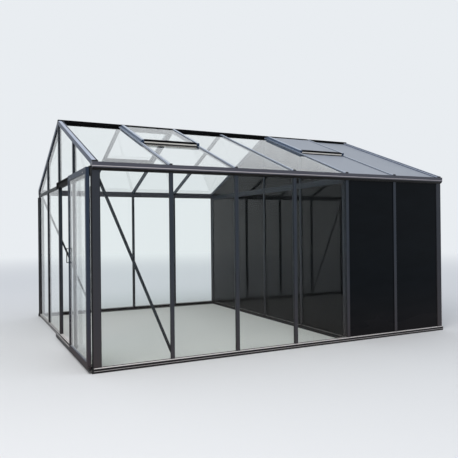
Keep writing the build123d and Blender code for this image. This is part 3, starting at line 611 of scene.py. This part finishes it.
# Trim of the roof, on both slopes: a rubber in each verge's groove, a clip over each bar's lower end, under
# each vent's sill a pale strip that paints the sky's reflection on the sill's face and a dark lip for the
# trimmer's face and the painted shadow in the gap below it, and pale strips along the flutes of the vents'
# side rails that paint their highlights.
# The points of an outline are (a, out of the slope). a is counted in from the gable for the groove, up the
# slope for the clip, the reflection strip and the lip, and out from the rail for the flute
roofTrim = {
    "ridgeWing": 0.034, "seatGap": 0.0003, "ventLength": 0.979, "ventBays": (1, 4), "rail": 0.037,
    "grooveFrom": 0.004, "halfClip": 0.012, "fluteFrom": 0.006, "fluteTo": 0.062,
    "fluteLevels": (0.0055, 0.0275),
    "groove": [(0.0435, 0.0052), (0.0505, 0.0052), (0.0530, 0.0122), (0.0515, 0.0145), (0.0425, 0.0145),
               (0.0405, 0.0135)],
    "clip": [(-0.0055, -0.0130), (0.0, -0.0130), (0.0, 0.0), (0.021, 0.0), (0.021, 0.0045), (0.008, 0.0125),
             (-0.002, 0.0125), (-0.0055, 0.0090)],
    "reflectionStrip": [(-0.0025, -0.0010), (0.0, -0.0010), (0.0, 0.0040), (0.0115, 0.0040), (0.0115, 0.0128),
             (-0.0010, 0.0128), (-0.0025, 0.0115)],
    "lip": [(-0.0300, -0.0098), (0.0030, -0.0098), (0.0030, -0.0010), (-0.0025, -0.0010), (-0.0045, -0.0030),
            (-0.0060, -0.0078), (-0.0300, -0.0088)],
    "flute": [(0, -0.0016), (0.0012, -0.0009), (0.0012, 0.0009), (0, 0.0016)],
}
ventTop = (house["halfWidth"] - roofTrim["ridgeWing"] - roofTrim["seatGap"]) / slopeCos
ventLow = ventTop - roofTrim["ventLength"]


def slopeRun(ends, level, side, across):  # between two points (x, along) of a slope, level out of it
    start, end = (onSlope(x, along, -level, side) for x, along in ends)
    return {"start": start, "end": end, "side": across, "face": (0, side * slopeSin, slopeCos)}


grooveRuns, clipRuns, sillRuns, fluteRuns = [], [], [], []
for side in (-1, 1):
    upSlope = (0, -side * slopeCos, slopeSin)
    for gable, inward in ((house["doorX"], 1), (house["rearX"], -1)):
        ends = (gable, roofTrim["grooveFrom"]), (gable, ventTop)
        grooveRuns.append(slopeRun(ends, 0, side, (inward, 0, 0)))
    for x in barX[1:-1]:
        ends = (x - roofTrim["halfClip"], 0), (x + roofTrim["halfClip"], 0)
        clipRuns.append(slopeRun(ends, 0, side, upSlope))
    for bay in roofTrim["ventBays"]:
        ends = (barX[bay] + roofTrim["rail"], ventLow), (barX[bay + 1] - roofTrim["rail"], ventLow)
        sillRuns.append(slopeRun(ends, 0, side, upSlope))
        for x, hand in ((barX[bay], -1), (barX[bay + 1], 1)):
            ends = (x, ventLow + roofTrim["fluteFrom"]), (x, ventTop - roofTrim["fluteTo"])
            for level in roofTrim["fluteLevels"]:
                fluteRuns.append(slopeRun(ends, level, side, (hand, 0, 0)))
strips("verge_groove_rubbers", grooveRuns, roofTrim["groove"], rubber, "greenhouse")
strips("roof_bar_end_clips", clipRuns, roofTrim["clip"], plastic, "greenhouse")
# a pale strip that paints the sky's reflection on each vent sill's face
strips("vent_sill_reflection_strips", sillRuns, roofTrim["reflectionStrip"], sillReflection, "greenhouse")
# a dark lip for the trimmer's face and the painted shadow in the gap under the sill
strips("vent_sill_lips", sillRuns, roofTrim["lip"], rubber, "greenhouse")
# pale strips that paint the highlights on the flutes' edges
strips("vent_flute_highlights", fluteRuns, roofTrim["flute"], fluteHighlight, "greenhouse")
print("roof trim made")

# Black pieces at the door gable: seals on the corner posts, brushes behind the leaf's edges, blocks on the
# ends of the long walls' base rails and caps on the track's ends. Each block reaches from near to far out of
# the gable, halfY to each side of its middle, and from low to high
doorX, outerY = house["doorX"], house["halfWidth"]
leafY = 0.002 - outerY  # near edge of the parked leaf
doorBlocks = {
    "door_post_seals": {"near": 0.0, "far": 0.012, "middles": (0.008 - outerY, outerY - 0.008),
                        "halfY": 0.006, "low": house["baseTop"], "high": 1.885, "bevel": 0.0015},
    "leaf_brushes": {"near": 0.020, "far": 0.026, "middles": (leafY + 0.008, leafY + 0.942),
                     "halfY": 0.005, "low": 0.075, "high": 1.875, "bevel": 0.0012,
                     "body": "sliding_leaf"},
    "base_end_blocks": {"near": 0.0, "far": 0.018, "middles": (-1.9615, 1.9615), "halfY": 0.0085,
                        "low": 0.002, "high": 0.046, "bevel": 0.003, "material": plastic},
    "track_end_caps": {"near": 0.0, "far": 0.020, "middles": (-1.9525, 0.0265), "halfY": 0.0015,
                       "low": 1.887, "high": 1.961, "bevel": 0.001, "material": plastic},
}


# Upright blocks: the outline is a rectangle of half sizes x and y, with its corners cut off by bevel
def blocks(name, block):
    x, y, bevel = (block["far"] - block["near"]) / 2, block["halfY"], block["bevel"]
    outline = [(-x, -y + bevel), (-x + bevel, -y), (x - bevel, -y), (x, -y + bevel), (x, y - bevel),
               (x - bevel, y), (-x + bevel, y), (-x, y - bevel)]
    runs = [{"start": (doorX - block["far"] + x, middle, block["low"]),
             "end": (doorX - block["far"] + x, middle, block["high"]),
             "side": (1, 0, 0), "face": (0, 1, 0)} for middle in block["middles"]]
    material, body = block.get("material", rubber), block.get("body", "greenhouse")
    strips(name, runs, outline, material, body)


for blockName, block in doorBlocks.items():
    blocks(blockName, block)

# Fixings: a bolt in the leaf's top rail at each roller, screws on the gutters' and the ridge's end plates,
# and a bolt through each end of the braces
fixings = {
    "leafFace": 0.057, "leafMiddle": 0.475, "roller": 0.33, "rollerZ": 1.9103, "rollerHead": (1.4, 1.0),
    "gutterScrews": ((1.935, 1.936), (1.970, 1.952), (1.9695, 1.990)), "ridgeScrews": (2.713, 2.744),
    "screwHead": (0.8, 0.7), "screwSides": 16,
    "braceThick": 0.004, "braceEnds": ((doorX + 0.061, 1.866), (barX[1], 0.124)),
}
rollerPlaces = [(doorX - fixings["leafFace"], leafY + fixings["leafMiddle"] + hand * fixings["roller"],
                 fixings["rollerZ"]) for hand in (-1, 1)]
turned("roller_axle_bolts", rollerPlaces, [(-1, 0, 0)] * 2, headOutline(*fixings["rollerHead"]),
       bolts["sides"], steel, "sliding_leaf", "brace_metal")
screwPlaces = []
for face, facing in ((doorX, -1), (house["rearX"], 1)):
    spots = [(side * y, z) for side in (-1, 1) for y, z in fixings["gutterScrews"]]
    spots += [(0, z) for z in fixings["ridgeScrews"]]
    screwPlaces += [((face, y, z), (facing, 0, 0)) for y, z in spots]
turned("end_plate_screws", *zip(*screwPlaces), headOutline(*fixings["screwHead"]), fixings["screwSides"],
       steel, "greenhouse", "brace_metal")
bracePlaces = [((x, side * (inner - fixings["braceThick"]), z), (0, -side, 0))
               for side in (-1, 1) for x, z in fixings["braceEnds"]]
turned("brace_bolts", *zip(*bracePlaces), headRows, bolts["sides"], steel, "greenhouse", "brace_metal")
print("door trim and fixings made")

# Floor: pale where the house stands, and the colour of the backdrop further out, so that no horizon shows
stagePlan = {"size": 60.0, "near": 6.0, "far": 26.0, "floorTone": (222, 221, 219),
             "backTone": (233, 237, 241)}


def makeFloor():
    finish = newMaterial("pale studio floor")
    distance = finish.node("VectorMath", {"operation": "LENGTH"}, {0: finish.place()}, "Value")
    share = ((distance - stagePlan["near"]) / (stagePlan["far"] - stagePlan["near"])).clipped()
    fade = share * share * (3.0 - 2.0 * share)  # a smooth step
    matt = finish.node("BsdfDiffuse", None, {"Color": tone(stagePlan["floorTone"])})
    glow = finish.node("Emission", None, {"Color": tone(stagePlan["backTone"]), "Strength": 1.0})
    material = finish.end(finish.node("MixShader", None, {0: fade, 1: matt, 2: glow}))
    half = stagePlan["size"]
    corners = [(-half, -half, 0), (half, -half, 0), (half, half, 0), (-half, half, 0)]
    mesh = bpy.data.meshes.new("studio_floor")
    mesh.from_pydata(corners, [], [(0, 1, 2, 3)])
    mesh.materials.append(material)
    floor = bpy.data.objects.new("studio_floor", mesh)
    bpy.context.scene.collection.objects.link(floor)


makeFloor()

# World: one plain light, and the pale backdrop for what the camera, the gloss and the glass see
lights = {"sky": (229, 236, 247), "skyPower": 0.98, "key": 560.0, "keyTone": (1.0, 0.97, 0.93),
          "keyPlace": (-6.0, -7.5, 8.5), "keyAim": (0.0, 0.0, 1.0), "keySize": 6.0}
sky = Finish(bpy.data.worlds.new("pale studio"))
bpy.context.scene.world = sky.block
path = sky.node("LightPath", None, None, "Is Camera Ray")
seen = path.larger(path.pick("Is Glossy Ray")).larger(path.pick("Is Transmission Ray"))
plainLight = sky.node("Background", None, {"Color": tone(lights["sky"]), "Strength": lights["skyPower"]})
backdrop = sky.node("Background", None, {"Color": tone(stagePlan["backTone"]), "Strength": 1.0})
sky.end(sky.node("MixShader", None, {0: seen, 1: plainLight, 2: backdrop}), "OutputWorld")

lamp = bpy.data.lights.new("key_light", "AREA")
lamp.energy, lamp.size, lamp.color = lights["key"], lights["keySize"], lights["keyTone"]
key = bpy.data.objects.new("key_light", lamp)
key.location = lights["keyPlace"]
key.rotation_mode = "QUATERNION"
key.rotation_quaternion = (Vector(lights["keyAim"]) - key.location).to_track_quat("-Z", "Y")
key.visible_glossy = key.visible_transmission = False  # no image of the lamp in the panes
bpy.context.scene.collection.objects.link(key)

# Camera: where the photo's straight edges put it, in metres, degrees and millimetres of lens
view = {"place": (-3.3456, -7.0805, 1.3390), "yaw": 26.40, "pitch": 0.13, "roll": -0.59,
        "lens": 42.40, "sensor": 36.0, "farClip": 200.0}


def makeCamera():  # forward from yaw and pitch, then right and up turned about it by the roll
    yaw, pitch, roll = (math.radians(view[angle]) for angle in ("yaw", "pitch", "roll"))
    ahead = Vector((math.sin(yaw) * math.cos(pitch), math.cos(yaw) * math.cos(pitch), math.sin(pitch)))
    level = Vector((math.cos(yaw), -math.sin(yaw), 0))
    above = level.cross(ahead)
    right = math.cos(roll) * level + math.sin(roll) * above
    up = math.cos(roll) * above - math.sin(roll) * level
    lens = bpy.data.cameras.new("photo_view")
    lens.lens, lens.sensor_width, lens.sensor_fit = view["lens"], view["sensor"], "HORIZONTAL"
    lens.clip_end = view["farClip"]
    camera = bpy.data.objects.new("photo_view", lens)
    turn = Matrix((right, up, -ahead)).transposed().to_4x4()
    camera.matrix_world = Matrix.Translation(view["place"]) @ turn
    bpy.context.scene.collection.objects.link(camera)
    bpy.context.scene.camera = camera


makeCamera()
bpy.context.scene.view_settings.view_transform = "Standard"
print("stage, light and camera made")
